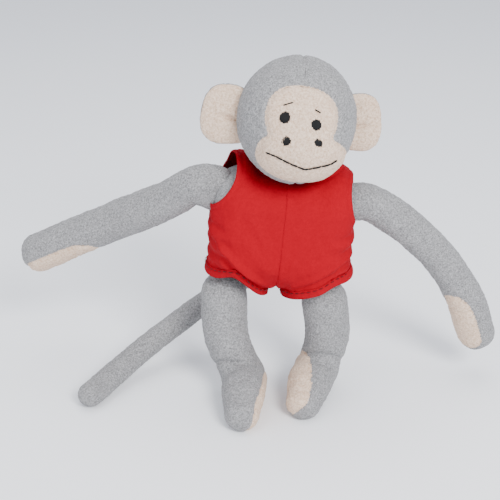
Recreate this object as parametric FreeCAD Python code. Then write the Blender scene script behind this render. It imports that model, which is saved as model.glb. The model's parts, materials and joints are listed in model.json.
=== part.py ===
import FreeCAD, Part
import math
import os

V = FreeCAD.Vector

# A small stuffed monkey in a cotton romper, standing on its feet with its tail on the floor.
# It faces -Y, so its own left is +X.  Millimetres and degrees throughout.

# ---- cloth, thread and clearances ----
plush = 1.2             # thickness of the plush skin, backing and pile
cotton = 0.9            # thickness of the romper's cotton
slack = 0.1             # between a cover and what it covers
gap = 0.35              # between neighbours that move apart
floss = 0.6             # radius of the embroidery floss
sewing_thread = 0.35    # radius of the thread that sews a limb on
hem_thread = 0.25       # radius of the hem's stitches
press = 0.8             # how far the feet's plush is pressed flat by the floor

# ---- body ----
torso_half_width = 40.5
torso_half_depth = 25.0
torso_above = 32.0      # from the body's centre to the top of the shoulders
torso_below = 40.0      # from the body's centre to the crotch
shoulder_round = 17.0
seat_round = 30.0
edge_round = 15.0
torso_height = 108.0    # height of the body's centre above the floor
torso_lean = 5.0        # the body leans to its own left

# ---- romper ----
neckline_radius = 26.0
strap_height = 10.0     # how far the straps run below the top of the shoulders
armhole_margin = 3.0
leg_hole_margin = 1.2
hem_width = 9.0
hem_thickness = 1.6
hem_slack = 1.0
hem_stitches = 22
hem_stitch_length = 2.4

# ---- head ----
head_radius = 33.5      # across; the head is a little taller
head_half_height = 35.5
head_from_neck = V(-2.71, -6.0, 35.83)
head_pitch, head_roll, head_yaw = 10.0, 4.0, 1.0
muzzle_radius = 22.0
muzzle_place = V(0.0, -15.5, -12.5)
brow_patch_radius = 18.0
brow_patch_rise = 4.5
muzzle_patch_radius = 15.5
muzzle_patch_half = 10.0
muzzle_patch_drop = 16.5
eye_ball, eye_spread, eye_rise = 3.6, 8.3, 3.0
nostril_ball, nostril_spread, nostril_drop = 3.2, 8.4, 7.3
brow_length, brow_rise, brow_spread = 4.5, 10.5, 8.3
mouth_half, mouth_drop, mouth_depth = 19.0, 15.5, 6.0
mouth_stitches = 11
neck_radius = 11.0
neck_rise = 4.0         # from the shoulders to the centre of the neck
socket_slope = 37.0     # the head's filling ends in a flat over the neck, sloped down to the chin

# ---- ears ----
ear_radius = 17.0
ear_half_thickness = 4.2
ear_reach = 37.0        # from the middle of the head to the middle of the ear
ear_drop, ear_back = 1.0, 6.0
ear_padding_back = 3.0  # the padding stops this far short of the seam

# ---- arms ----
arm_step = 24.8         # the arm is five equal steps long
arm_radii = (10.3, 11.8, 12.2, 11.6, 12.6, 12.9)
seam_angle = 42.0       # how far round the arm's root its seam thread lies
shoulder_angle = 15.0   # where the arm is sewn on, above the middle of the shoulder's round
elbow_station = 2
wrist_station = 4
# each arm: first heading and its turn per step, first rise and its turn per step, palm's facing
arm_course = {"right": (154.0, 3.6, -28.0, 0.3, V(0.1, -0.55, -0.85)),
              "left": (6.0, 2.0, -33.0, -9.0, V(-0.75, -0.65, 0.0))}
palm_offset = 2.5       # from the arm's axis to the edge of the palm patch

# ---- legs and feet ----
leg_radii = (11.5, 13.6, 11.8)
hip_angle = 58.0        # where the leg is sewn on, below the middle of the seat's round
heel_radius, toe_radius = 12.8, 11.6
foot_length = 35.0
knee_share = 0.5        # how far down the leg its fullest point is
foot_up, foot_down = 20.0, 35.0     # how far the ankle bends each way
# each leg: ankle's place on the floor, knee's forward push, foot's heading, sole's facing
leg_course = {"right": (V(-22.0, -12.0, 0), V(0.5, -1.0, 0), -92.0, V(0.8, 0.1, -0.6)),
              "left": (V(23.5, -1.5, 0), V(3.5, 0.5, 0), -106.0, V(-0.85, -0.45, 0.1))}
sole_offset = 3.0

# ---- tail ----
tail_length = 157.0
tail_steps = 6
tail_radius, tail_tip_radius = 7.2, 7.8
tail_side = -4.0        # the tail is sewn on this far from the middle of the back
tail_angle = 20.0
tail_headings = (168.0, 170.0, 200.0, 215.0, 229.0, 238.0)
tail_droop = 1.8        # exponent of the tail's fall to the floor
tail_bend_station = 3

# ---- bends ----
root_ball_share = 0.66  # a limb's root filling, as a share of the root's radius
bend_room = 1.22        # the filling keeps this many radii clear of a bend
ease = 0.02             # how much thinner a rod starts than the one before it ends
far = 400.0             # larger than the toy, for cutting tools


def capsule(start, end, start_radius, end_radius):
    """A round-ended tapered rod between two points."""
    length = end.sub(start).Length
    tilt = math.asin((start_radius - end_radius) / length)

    def rim(radius, height, angle):
        return V(radius * math.cos(angle), 0, height + radius * math.sin(angle))

    bottom, top = V(0, 0, -start_radius), V(0, 0, length + end_radius)
    low, high = rim(start_radius, 0, tilt), rim(end_radius, length, tilt)
    quarter = math.pi / 2
    edges = [Part.Arc(bottom, rim(start_radius, 0, (tilt - quarter) / 2), low).toShape(),
             Part.LineSegment(low, high).toShape(),
             Part.Arc(high, rim(end_radius, length, (tilt + quarter) / 2), top).toShape(),
             Part.LineSegment(top, bottom).toShape()]
    solid = Part.Face(Part.Wire(edges)).revolve(V(0, 0, 0), V(0, 0, 1), 360)
    solid.Placement = FreeCAD.Placement(start, FreeCAD.Rotation(V(0, 0, 1), end.sub(start)))
    return solid


def limb(points, radii, inset=0.0):
    """A run of tapered rods through points, each radius less by inset.

    Every rod after the first starts a hair thinner, so its round end sits inside the last one's.
    """
    rods = [capsule(points[i], points[i + 1], radii[i] - inset - (ease if i else 0), radii[i + 1] - inset)
            for i in range(len(points) - 1)]
    return rods[0].multiFuse(rods[1:]) if len(rods) > 1 else rods[0]


def shortened(points, radii, start, end):
    """The same limb, with its first and last points moved in along it."""
    places, sizes = list(points), list(radii)
    for last, beside, by in ((0, 1, start), (-1, -2, end)):
        along = points[beside].sub(points[last])
        share = by / along.Length
        places[last] = points[last] + along * share
        sizes[last] = radii[last] + (radii[beside] - radii[last]) * share
    return places, sizes


def unit(vector):
    """The vector's direction."""
    return V(vector).normalize()


def side_of(point, normal, offset=0.0):
    """The half of space ahead of a plane, as a block."""
    block = Part.makeBox(2 * far, 2 * far, far, V(-far, -far, offset))
    block.Placement = FreeCAD.Placement(point, FreeCAD.Rotation(V(0, 0, 1), normal))
    return block


def direction(heading, rise):
    """The direction of a heading about +Z and a rise above the floor."""
    heading, rise = math.radians(heading), math.radians(rise)
    return V(math.cos(heading) * math.cos(rise), math.sin(heading) * math.cos(rise), math.sin(rise))


def spheroid(radius, half_length, axis=V(0, 0, 1), centre=V(0, 0, 0)):
    """A ball flattened or stretched along an axis: a half ellipse turned about it."""
    if half_length > radius:
        curve, start = Part.Ellipse(V(0, 0, half_length), V(radius, 0, 0), V(0, 0, 0)), math.pi
    else:
        curve, start = Part.Ellipse(V(radius, 0, 0), V(0, 0, half_length), V(0, 0, 0)), -math.pi / 2
    outline = Part.ArcOfEllipse(curve, start, start + math.pi).toShape()
    chord = Part.LineSegment(V(0, 0, half_length), V(0, 0, -half_length)).toShape()
    solid = Part.Face(Part.Wire([outline, chord])).revolve(V(0, 0, 0), V(0, 0, 1), 360)
    solid.Placement = FreeCAD.Placement(centre, FreeCAD.Rotation(V(0, 0, 1), axis))
    return solid


underground = side_of(V(0, 0, 0), V(0, 0, -1))

# ---- the body's own frame ----
torso_frame = FreeCAD.Placement(V(-1.0, 0, torso_height), FreeCAD.Rotation(V(0, 1, 0), torso_lean))


def in_torso(shape):
    """A shape made about the body's centre, put in its place."""
    shape.Placement = torso_frame.multiply(shape.Placement)
    return shape


def torso_solid(outset):
    """The body's rounded block, larger all round by outset."""
    wide, deep = torso_half_width + outset, torso_half_depth + outset
    low, high = torso_below + outset, torso_above + outset
    block = Part.makeBox(2 * wide, 2 * deep, low + high, V(-wide, -deep, -low))

    def corners(height):
        return [e for e in block.Edges
                if abs(abs(e.CenterOfMass.x) - wide) < 1e-6 and abs(e.CenterOfMass.z - height) < 1e-6]

    block = block.makeFillet(shoulder_round + outset, corners(high))
    block = block.makeFillet(seat_round + outset, corners(-low))
    rims = [e for e in block.Edges if abs(abs(e.CenterOfMass.y) - deep) < 1e-6]
    return block.makeFillet(edge_round + outset, rims)


def tangent_point(corner_x, corner_z, round_radius, limb_radius, angle):
    """Centre of a ball that stands off a rounded corner by the gap, in the body's frame."""
    reach = round_radius + gap + limb_radius
    turn = math.radians(angle)
    return V(corner_x + math.copysign(reach * math.cos(turn), corner_x), 0,
             corner_z + reach * math.sin(turn))


def place(point):
    """A point of the body's frame, in the toy's frame."""
    return torso_frame.multVec(point)


sides = {"right": -1, "left": 1}
shoulders, hips, shoulder_corners = {}, {}, {}
for side, sign in sides.items():
    corner = V(sign * (torso_half_width - shoulder_round), 0, torso_above - shoulder_round)
    shoulder_corners[side] = place(corner)
    shoulders[side] = place(tangent_point(corner.x, corner.z, shoulder_round, arm_radii[0], shoulder_angle))
    corner = V(sign * (torso_half_width - seat_round), 0, seat_round - torso_below)
    hips[side] = place(tangent_point(corner.x, corner.z, seat_round, leg_radii[0], -hip_angle))

nodes, bodies = {}, {}


def keep(body, name, shape):
    """File a piece under its node's name and the body that carries it."""
    nodes[name] = shape
    bodies.setdefault(body, []).append(name)


# ---- body: two plush panels sewn up the sides, filled ----
torso_skin = torso_solid(0).cut(torso_solid(-plush))
keep("torso", "torso_front_panel", in_torso(torso_skin.common(side_of(V(0, 0, 0), V(0, -1, 0)))))
keep("torso", "torso_back_panel", in_torso(torso_skin.common(side_of(V(0, 0, 0), V(0, 1, 0)))))
keep("torso", "torso_stuffing", in_torso(torso_solid(-plush - slack)))

# ---- romper: two halves sewn at the middle, with straps over the shoulders ----
romper = torso_solid(slack + cotton).cut(torso_solid(slack))
neck_hole = Part.makeCylinder(neckline_radius, far, V(0, -5, torso_above - strap_height), V(0, 0, 1))
romper = in_torso(romper.cut(neck_hole))
for side in sides:
    romper = romper.cut(Part.makeSphere(arm_radii[0] + armhole_margin, shoulders[side]))
    romper = romper.cut(Part.makeSphere(leg_radii[0] + leg_hole_margin, hips[side]))
tail_corner = V(tail_side, torso_half_depth - edge_round, edge_round - torso_below)
tail_reach = edge_round + gap + tail_radius
tail_root = place(tail_corner + V(0, tail_reach * math.cos(math.radians(tail_angle)),
                                  -tail_reach * math.sin(math.radians(tail_angle))))
romper = romper.cut(Part.makeSphere(tail_radius + leg_hole_margin, tail_root))
above_straps = in_torso(side_of(V(0, 0, torso_above - strap_height), V(0, 0, 1)))
for side, sign in sides.items():
    half = romper.common(in_torso(side_of(V(0, 0, 0), V(sign, 0, 0))))
    keep("torso", side + "_romper_half", half.cut(above_straps))
    keep("torso", side + "_romper_strap", half.common(above_straps))

# ---- neck: a ball of plush that the head's hollow turns on ----
neck_point = place(V(8.0, -2.0, torso_above + neck_rise))
neck_ball = Part.makeSphere(neck_radius, neck_point)
neck_floor = in_torso(side_of(V(0, 0, torso_above + gap), V(0, 0, 1)))
keep("neck", "neck_gusset", neck_ball.common(neck_floor))
up = torso_frame.Rotation.multVec(V(0, 0, 1))
neck_seam_rise = neck_rise - gap - 2 * sewing_thread
neck_seam_radius = math.sqrt(neck_radius ** 2 - neck_seam_rise ** 2) + gap + sewing_thread
keep("neck_seam", "neck_seam_thread",
     Part.makeTorus(neck_seam_radius, sewing_thread, neck_point - up * neck_seam_rise, up))

# ---- head ----
head_frame = FreeCAD.Placement(neck_point + head_from_neck, FreeCAD.Rotation(V(0, 0, 1), head_yaw)
                               .multiply(FreeCAD.Rotation(V(0, 1, 0), head_roll))
                               .multiply(FreeCAD.Rotation(V(1, 0, 0), -head_pitch)))


def in_head(shape):
    """A shape made about the head's centre, put in its place."""
    shape.Placement = head_frame.multiply(shape.Placement)
    return shape


def head_solid(outset):
    """The head's ball with its muzzle, larger all round by outset."""
    ball = spheroid(head_radius + outset, head_half_height + outset)
    return ball.fuse(Part.makeSphere(muzzle_radius + outset, muzzle_place))


def face_point(x, z):
    """The point of the face's front at a place across and up."""
    ball = 1 - (x / head_radius) ** 2 - (z / head_half_height) ** 2
    snout = muzzle_radius ** 2 - (x - muzzle_place.x) ** 2 - (z - muzzle_place.z) ** 2
    depths = [-head_radius * math.sqrt(ball)] if ball > 0 else []
    if snout > 0:
        depths.append(muzzle_place.y - math.sqrt(snout))
    return V(x, min(depths), z)


head_outer = head_solid(0)
neck_socket = Part.makeSphere(neck_radius + gap, head_frame.inverse().multVec(neck_point))
head_skin = head_outer.cut(head_solid(-plush)).cut(neck_socket)
front = V(0, -far, 0)
patch = Part.makeCylinder(brow_patch_radius, far, front + V(0, 0, brow_patch_rise), V(0, 1, 0))
for sign in sides.values():
    patch = patch.fuse(Part.makeCylinder(
        muzzle_patch_radius, far, front + V(sign * muzzle_patch_half, 0, -muzzle_patch_drop), V(0, 1, 0)))
patch = patch.fuse(Part.makeBox(2 * muzzle_patch_half, far, 2 * muzzle_patch_radius,
                                front + V(-muzzle_patch_half, 0, -muzzle_patch_drop - muzzle_patch_radius)))
crown = head_skin.cut(patch)
keep("head", "face_panel", in_head(head_skin.common(patch)))
for side, sign in sides.items():
    keep("head", side + "_crown_panel", in_head(crown.common(side_of(V(0, 0, 0), V(sign, 0, 0)))))
socket = head_frame.inverse().multVec(neck_point)
socket_way = unit(V(0, math.tan(math.radians(socket_slope)), -1))
under_socket = side_of(socket - socket_way * (neck_radius + gap), socket_way)
keep("head", "head_stuffing", in_head(head_solid(-plush - slack).cut(under_socket)))

# ---- embroidery: satin-stitched eyes and nostrils, straight brows, backstitched mouth ----
def satin_dot(radius, across, up):
    """A raised dot of satin stitch on the face: the cap of a ball sunk by 0.7 of its radius."""
    return Part.makeSphere(radius, face_point(across, up) + V(0, 0.7 * radius, 0)).cut(head_outer)


nostrils, brows = [], []
for side, sign in sides.items():
    keep("head", side + "_eye", in_head(satin_dot(eye_ball, sign * eye_spread, eye_rise)))
    nostrils.append(satin_dot(nostril_ball, sign * nostril_spread, -nostril_drop))
    proud = V(0, -1.4 * floss, 0)
    inner = face_point(sign * (brow_spread - brow_length / 2), brow_rise) + proud
    outer = face_point(sign * (brow_spread + brow_length / 2), brow_rise - 1.5) + proud
    brows.append(capsule(inner, outer, floss, floss * 0.9))
keep("head", "nostrils", in_head(Part.Compound(nostrils)))
keep("head", "eyebrow_stitches", in_head(Part.Compound(brows)))


def mouth_point(share):
    """A point along the smile, from -1 at one corner to 1 at the other."""
    return face_point(share * mouth_half, -mouth_drop - mouth_depth * (1 - share ** 2))


stitches = []
for i in range(mouth_stitches):
    start = mouth_point(2 * (i + 0.06) / mouth_stitches - 1)
    end = mouth_point(2 * (i + 0.94) / mouth_stitches - 1)
    stitches.append(capsule(start, end, floss, floss * 0.9).cut(head_outer))
keep("head", "mouth_stitches", in_head(Part.Compound(stitches)))

# ---- ears: cream front, grey back, thin padding ----
ear_pivots, ear_axis = {}, head_frame.Rotation.multVec(V(0, 0, 1))
ear_stop = Part.makeSphere(head_radius + 2 * gap)
ear_padding_stop = Part.makeSphere(head_radius + ear_padding_back)


def ear_pad(centre, inset):
    """Two shallow domes rim to rim, front and back, each inset from the ear's outside."""
    dome = (ear_radius ** 2 + ear_half_thickness ** 2) / (2 * ear_half_thickness)
    sink = V(0, dome - ear_half_thickness, 0)
    return Part.makeSphere(dome - inset, centre + sink).common(Part.makeSphere(dome - inset, centre - sink))


for side, sign in sides.items():
    centre = V(sign * ear_reach, ear_back, -ear_drop)
    shell = ear_pad(centre, 0).cut(ear_pad(centre, plush)).cut(ear_stop)
    body = side + "_ear"
    keep(body, side + "_ear_front", in_head(shell.common(side_of(centre, V(0, -1, 0)))))
    keep(body, side + "_ear_back", in_head(shell.common(side_of(centre, V(0, 1, 0)))))
    keep(body, side + "_ear_padding", in_head(ear_pad(centre, plush + slack).cut(ear_padding_stop)))
    ear_pivots[side] = head_frame.multVec(V(sign * head_radius, ear_back, -ear_drop))

# ---- arms ----
elbows, elbow_axes, shoulder_axes = {}, {}, {}


def tube(points, radii):
    """A limb's skin, round at both ends."""
    return limb(points, radii).cut(limb(points, radii, plush))


def cut_tube(points, radii, station):
    """A limb's skin in two lengths that meet at a station, and the direction there."""
    skin = tube(points, radii)
    along = unit(unit(points[station] - points[station - 1]) + unit(points[station + 1] - points[station]))
    return (skin.common(side_of(points[station], along * -1, gap / 2)),
            skin.common(side_of(points[station], along, gap / 2)), along)


def filling(points, radii, start, end):
    """A limb's stuffing, stopping short of its two ends."""
    return limb(*shortened(points, radii, start, end), plush + slack)


def root_filling(point, radius):
    """The ball of stuffing that a limb turns on."""
    return Part.makeSphere(radius * root_ball_share, point)


def root_room(radii):
    """How far from its root a limb's stuffing starts, clear of the root's own ball."""
    return radii[0] * root_ball_share + max(radii) - plush + gap


for side, (heading, turn, rise, fall, palm) in arm_course.items():
    points = [shoulders[side]]
    for i in range(len(arm_radii) - 1):
        points.append(points[-1] + direction(heading + turn * i, rise + fall * i) * arm_step)
    upper, lower, along = cut_tube(points, arm_radii, elbow_station)
    room = arm_radii[elbow_station] * bend_room
    inward = unit(shoulder_corners[side] - points[0])
    ring = arm_radii[0] + sewing_thread + gap
    ring_angle = math.radians(seam_angle)
    keep(side + "_shoulder", side + "_shoulder_seam_thread",
         Part.makeTorus(ring * math.sin(ring_angle), sewing_thread,
                        points[0] + inward * ring * math.cos(ring_angle), inward))
    keep(side + "_shoulder", side + "_shoulder_stuffing", root_filling(points[0], arm_radii[0]))
    keep(side + "_upper_arm", side + "_upper_arm_skin", upper)
    keep(side + "_upper_arm", side + "_upper_arm_stuffing",
         filling(points[:elbow_station + 1], arm_radii[:elbow_station + 1],
                 root_room(arm_radii[:elbow_station + 1]), room))
    hand = unit(points[-1] - points[wrist_station])
    palm_side = unit(palm - hand * palm.dot(hand))
    palm_part = side_of(points[wrist_station], hand).common(
        side_of(points[wrist_station], palm_side, palm_offset))
    keep(side + "_forearm", side + "_forearm_skin", lower.cut(palm_part))
    keep(side + "_forearm", side + "_palm_patch", lower.common(palm_part))
    keep(side + "_forearm", side + "_forearm_stuffing",
         filling(points[elbow_station:], arm_radii[elbow_station:], room, 0))
    elbows[side] = points[elbow_station]
    elbow_axes[side] = unit(along.cross(V(0, 0, 1)))
    outward = unit(points[1] - points[0])
    level = unit(outward.cross(V(0, 0, 1)))
    shoulder_axes[side] = (level, unit(level.cross(outward)))

# ---- legs, feet and the romper's hems ----
ankles, ankle_axes = {}, {}
for side, (ankle, push, heading, sole_side) in leg_course.items():
    ankle = V(ankle.x, ankle.y, heel_radius - press)
    toe = ankle + direction(heading, 0) * foot_length
    toe.z = toe_radius - press
    knee = hips[side] + (ankle - hips[side]) * knee_share + push
    points = [hips[side], knee, ankle]
    shin = unit(ankle - knee)
    ankle_axis = unit(direction(heading, 0).cross(V(0, 0, 1)))

    def swung_foot(angle, outset):
        """The foot's solid, swung about the ankle and larger by outset."""
        foot = capsule(ankle, toe, heel_radius + outset, toe_radius + outset)
        foot.rotate(ankle, ankle_axis, angle)
        return foot

    leg_filling = (limb(points, leg_radii, plush + slack)
                   .cut(Part.makeSphere(leg_radii[0] * root_ball_share + gap, hips[side])))
    for share in range(-1, 3):
        leg_filling = leg_filling.cut(swung_foot(foot_up * share / 2, 2 * gap))
    foot_skin = tube([ankle, toe], (heel_radius, toe_radius)).cut(underground)
    sole_side = unit(sole_side)
    sole_part = side_of(ankle, sole_side, sole_offset)
    shank = unit(knee - hips[side])
    hem_inner = leg_radii[0] + hem_slack
    cuff = Part.makeCylinder(hem_inner + hem_thickness, hem_width, hips[side], shank)
    keep(side + "_hip", side + "_romper_hem",
         cuff.cut(Part.makeCylinder(hem_inner, hem_width, hips[side], shank)))
    across = unit(shank.cross(V(0, 1, 0)))
    beside = shank.cross(across)
    thread_reach = hem_inner + hem_thickness + hem_thread
    line = hips[side] + shank * (hem_width * 0.62)
    seam = []
    for i in range(hem_stitches):
        angle = 2 * math.pi * i / hem_stitches
        outward = across * math.cos(angle) + beside * math.sin(angle)
        run = unit(shank.cross(outward)) * (hem_stitch_length / 2)
        middle = line + outward * thread_reach
        seam.append(capsule(middle - run, middle + run, hem_thread, hem_thread * 0.99))
    keep(side + "_hip", side + "_hem_stitches", Part.Compound(seam))
    keep(side + "_hip", side + "_hip_stuffing", root_filling(hips[side], leg_radii[0]))
    keep(side + "_leg", side + "_leg_skin", tube(points, leg_radii).cut(swung_foot(0, gap)))
    keep(side + "_leg", side + "_leg_stuffing", leg_filling)
    keep(side + "_foot", side + "_foot_skin", foot_skin.cut(sole_part))
    keep(side + "_foot", side + "_sole", foot_skin.common(sole_part))
    keep(side + "_foot", side + "_foot_stuffing",
         limb([ankle, toe], (heel_radius, toe_radius), plush + slack))
    ankles[side], ankle_axes[side] = ankle, ankle_axis

# ---- tail ----
points, tail_radii = [tail_root], [tail_radius]
tip_height = tail_tip_radius
for i, heading in enumerate(tail_headings):
    share = (i + 1) / tail_steps
    height = tip_height + (tail_root.z - tip_height) * (1 - share) ** tail_droop
    step = tail_length / tail_steps
    drop = height - points[-1].z
    level = math.sqrt(step ** 2 - drop ** 2)
    points.append(points[-1] + direction(heading, 0) * level + V(0, 0, drop))
    tail_radii.append(tail_radius + (tail_tip_radius - tail_radius) * share)
base_skin, tip_skin, tail_along = cut_tube(points, tail_radii, tail_bend_station)
bend = tail_bend_station
room = tail_radii[bend] * bend_room
keep("tail_root", "tail_root_stuffing", root_filling(tail_root, tail_radius))
keep("tail_base", "tail_base_skin", base_skin)
keep("tail_base", "tail_base_stuffing",
     filling(points[:bend + 1], tail_radii[:bend + 1], root_room(tail_radii[:bend + 1]), room))
keep("tail_tip", "tail_tip_skin", tip_skin)
keep("tail_tip", "tail_tip_stuffing", filling(points[bend:], tail_radii[bend:], room, 0))
tail_joint = points[bend]

# ---- the origin: on the floor, at the middle of the toy's own box ----
box = FreeCAD.BoundBox()
for shape in nodes.values():
    box.add(shape.optimalBoundingBox())
origin = V((box.XMin + box.XMax) / 2, (box.YMin + box.YMax) / 2, 0)

os.makedirs("parts", exist_ok=True)
for name, shape in nodes.items():
    shape.translate(origin * -1)
    shape.exportStep("parts/" + name + ".step")
print(len(nodes), "nodes; box", round(box.XLength, 1), round(box.YLength, 1), round(box.ZLength, 1))
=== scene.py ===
"""Looks for a small plush monkey in a red cotton romper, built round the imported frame.

Every solid is worked out in millimetres in the frame's own axes and handed to Blender in metres.
Soft pieces are implicit forms (rods, balls and blocks run together) that are meshed evenly,
given their seams, folds and pile as real relief, and parted into panels along their seams.
"""

import json
import logging
import math
from dataclasses import dataclass, field
from enum import Enum
from typing import Callable, Sequence

import bpy
import numpy as np
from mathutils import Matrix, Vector


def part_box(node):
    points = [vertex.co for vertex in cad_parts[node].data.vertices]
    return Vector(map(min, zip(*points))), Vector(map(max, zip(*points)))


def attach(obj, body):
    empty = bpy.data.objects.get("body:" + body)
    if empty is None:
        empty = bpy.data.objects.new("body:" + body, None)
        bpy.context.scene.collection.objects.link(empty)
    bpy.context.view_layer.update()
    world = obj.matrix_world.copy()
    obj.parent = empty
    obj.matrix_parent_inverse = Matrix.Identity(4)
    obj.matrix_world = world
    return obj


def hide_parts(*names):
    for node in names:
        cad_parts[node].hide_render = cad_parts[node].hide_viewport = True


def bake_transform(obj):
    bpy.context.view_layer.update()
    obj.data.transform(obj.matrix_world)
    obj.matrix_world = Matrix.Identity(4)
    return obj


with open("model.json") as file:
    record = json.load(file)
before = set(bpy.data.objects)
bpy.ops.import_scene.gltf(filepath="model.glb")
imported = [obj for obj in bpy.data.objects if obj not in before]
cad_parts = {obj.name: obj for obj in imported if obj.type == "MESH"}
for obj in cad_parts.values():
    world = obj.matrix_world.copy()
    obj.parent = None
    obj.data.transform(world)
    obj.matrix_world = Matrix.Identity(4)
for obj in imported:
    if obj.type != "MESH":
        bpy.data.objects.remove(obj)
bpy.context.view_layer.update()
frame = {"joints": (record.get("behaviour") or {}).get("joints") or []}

LOG = logging.getLogger("monkey")
MM = 0.001
FAR = 99.0      # mm, farther than any seam reaches
Array = np.ndarray
Field = Callable[[Array], Array]
JOINTS = {joint["name"]: joint for joint in frame["joints"]}


class Side(Enum):
    """A side of the toy: its own right is towards -X."""

    RIGHT = -1
    LEFT = 1

    @property
    def word(self) -> str:
        """The side's name as the frame's nodes spell it."""
        return self.name.lower()


# ---------------------------------------------------------------- the frame, in millimetres

def vec(*values: float) -> Array:
    """A point or direction."""
    return np.array(values, float)


def unit(vector: Array) -> Array:
    """The vector's direction."""
    return vector / np.linalg.norm(vector)


def pivot(joint: str) -> Array:
    """Where a joint's axis stands, in mm."""
    return np.array(JOINTS[joint]["pos_m"], float) / MM


def axis(joint: str) -> Array:
    """The direction of a joint's axis."""
    return unit(np.array(JOINTS[joint]["axis"], float))


def corners(node: str) -> tuple[Array, Array]:
    """A CAD node's lowest and highest corner, in mm."""
    low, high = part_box(node)
    return np.array(low) / MM, np.array(high) / MM


def course_way(heading: float, rise: float) -> Array:
    """The direction of a heading about +Z and a rise above the floor, in degrees."""
    heading, rise = math.radians(heading), math.radians(rise)
    return vec(math.cos(heading) * math.cos(rise), math.sin(heading) * math.cos(rise), math.sin(rise))


@dataclass(frozen=True)
class Pose:
    """A frame of its own for a part of the toy: a centre and three axes."""

    centre: Array
    across: Array
    back: Array
    up: Array

    def local(self, points: Array) -> Array:
        """Points of the toy's frame in this one.

        Args:
            points: rows of x, y, z in mm.

        Returns:
            The same points, measured across, back and up.
        """
        return (points - self.centre) @ np.array([self.across, self.back, self.up]).T

    def world(self, points: Array) -> Array:
        """Points of this frame in the toy's."""
        return np.atleast_2d(points) @ np.array([self.across, self.back, self.up]) + self.centre


# ---------------------------------------------------------------- grain: repeatable noise

def lattice(cell: Array, seed: int) -> Array:
    """A fixed value from 0 to 1 for each whole cell.

    Args:
        cell: rows of whole numbers.
        seed: picks another pattern.

    Returns:
        One value per row.
    """
    mixed = (cell[:, 0] * 374761393 + cell[:, 1] * 668265263 + cell[:, 2] * 2246822519 + seed * 3266489917)
    mixed = (mixed ^ (mixed >> 13)) & 0xFFFFFFFF
    mixed = (mixed * 1274126177) & 0xFFFFFFFF
    return ((mixed ^ (mixed >> 16)) & 0xFFFF) / 65535.0


def grain(points: Array, size: float | Array, seed: int = 0) -> Array:
    """Smooth noise from -1 to 1.

    Args:
        points: rows of x, y, z in mm.
        size: the noise's grain in mm, one value or one per axis.
        seed: picks another pattern.

    Returns:
        One value per point.
    """
    scaled = points / size
    cell = np.floor(scaled).astype(np.int64)
    part = scaled - cell
    part = part * part * (3 - 2 * part)
    total = np.zeros(len(points))
    for corner in range(8):
        step = np.array([corner & 1, corner >> 1 & 1, corner >> 2 & 1])
        weight = np.prod(np.where(step, part, 1 - part), axis=1)
        total += weight * lattice(cell + step, seed)
    return total * 2 - 1


def near(distance: Array, width: float) -> Array:
    """1 on a line, falling to 0 about a width away."""
    return np.exp(-(distance / width) ** 2)


# ---------------------------------------------------------------- implicit forms

def run_together(first: Array, second: Array, soft: float) -> Array:
    """The nearer of two distances, with a fillet where they meet.

    Args:
        first: distances to one solid, in mm.
        second: distances to the other.
        soft: how wide the fillet is, in mm.

    Returns:
        One distance per point.
    """
    if soft <= 0:
        return np.minimum(first, second)
    overlap = np.maximum(soft - np.abs(first - second), 0) / soft
    return np.minimum(first, second) - overlap * overlap * soft / 4


@dataclass(frozen=True)
class Rope:
    """A round length that follows points, thick or thin along its way."""

    points: Array
    radii: Array

    def __call__(self, spots: Array) -> Array:
        """Signed distance of each spot from the surface.

        Args:
            spots: rows of x, y, z in mm.

        Returns:
            One distance per spot, below 0 inside.
        """
        best = np.full(len(spots), 1e9)
        for i in range(len(self.points) - 1):
            start, leg = self.points[i], self.points[i + 1] - self.points[i]
            share = np.clip((spots - start) @ leg / (leg @ leg), 0, 1)
            reach = np.linalg.norm(spots - start - share[:, None] * leg, axis=1)
            best = np.minimum(best, reach - self.radii[i] - share * (self.radii[i + 1] - self.radii[i]))
        return best

    def along(self, spots: Array) -> tuple[Array, Array]:
        """How far along the rope each spot lies, and its offset from the rope's line.

        Args:
            spots: rows of x, y, z in mm.

        Returns:
            Lengths in mm from the first point, and offset vectors.
        """
        best, length = np.full(len(spots), 1e9), np.zeros(len(spots))
        offset, done = np.zeros((len(spots), 3)), 0.0
        for i in range(len(self.points) - 1):
            start, leg = self.points[i], self.points[i + 1] - self.points[i]
            share = np.clip((spots - start) @ leg / (leg @ leg), 0, 1)
            away = spots - start - share[:, None] * leg
            reach = np.linalg.norm(away, axis=1)
            closer = reach < best
            best[closer], offset[closer] = reach[closer], away[closer]
            length[closer] = done + share[closer] * np.linalg.norm(leg)
            done += np.linalg.norm(leg)
        return length, offset


@dataclass(frozen=True)
class Ball:
    """An ellipsoid in a frame of its own."""

    pose: Pose
    middle: Array
    half: Array

    def __call__(self, spots: Array) -> Array:
        """Signed distance of each spot, near enough close to the surface.

        Args:
            spots: rows of x, y, z in mm.

        Returns:
            One distance per spot, below 0 inside.
        """
        place = self.pose.local(spots) - self.middle
        scale = np.linalg.norm(place / self.half, axis=1)
        slope = np.linalg.norm(place / self.half ** 2, axis=1)
        return scale * (scale - 1) / np.maximum(slope, 1e-9)


@dataclass(frozen=True)
class Block:
    """A rounded block in a frame of its own."""

    pose: Pose
    middle: Array
    half: Array
    corner: float

    def __call__(self, spots: Array) -> Array:
        """Signed distance of each spot.

        Args:
            spots: rows of x, y, z in mm.

        Returns:
            One distance per spot, below 0 inside.
        """
        place = np.abs(self.pose.local(spots) - self.middle) - (self.half - self.corner)
        outside = np.linalg.norm(np.maximum(place, 0), axis=1)
        return outside + np.minimum(place.max(axis=1), 0) - self.corner


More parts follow.
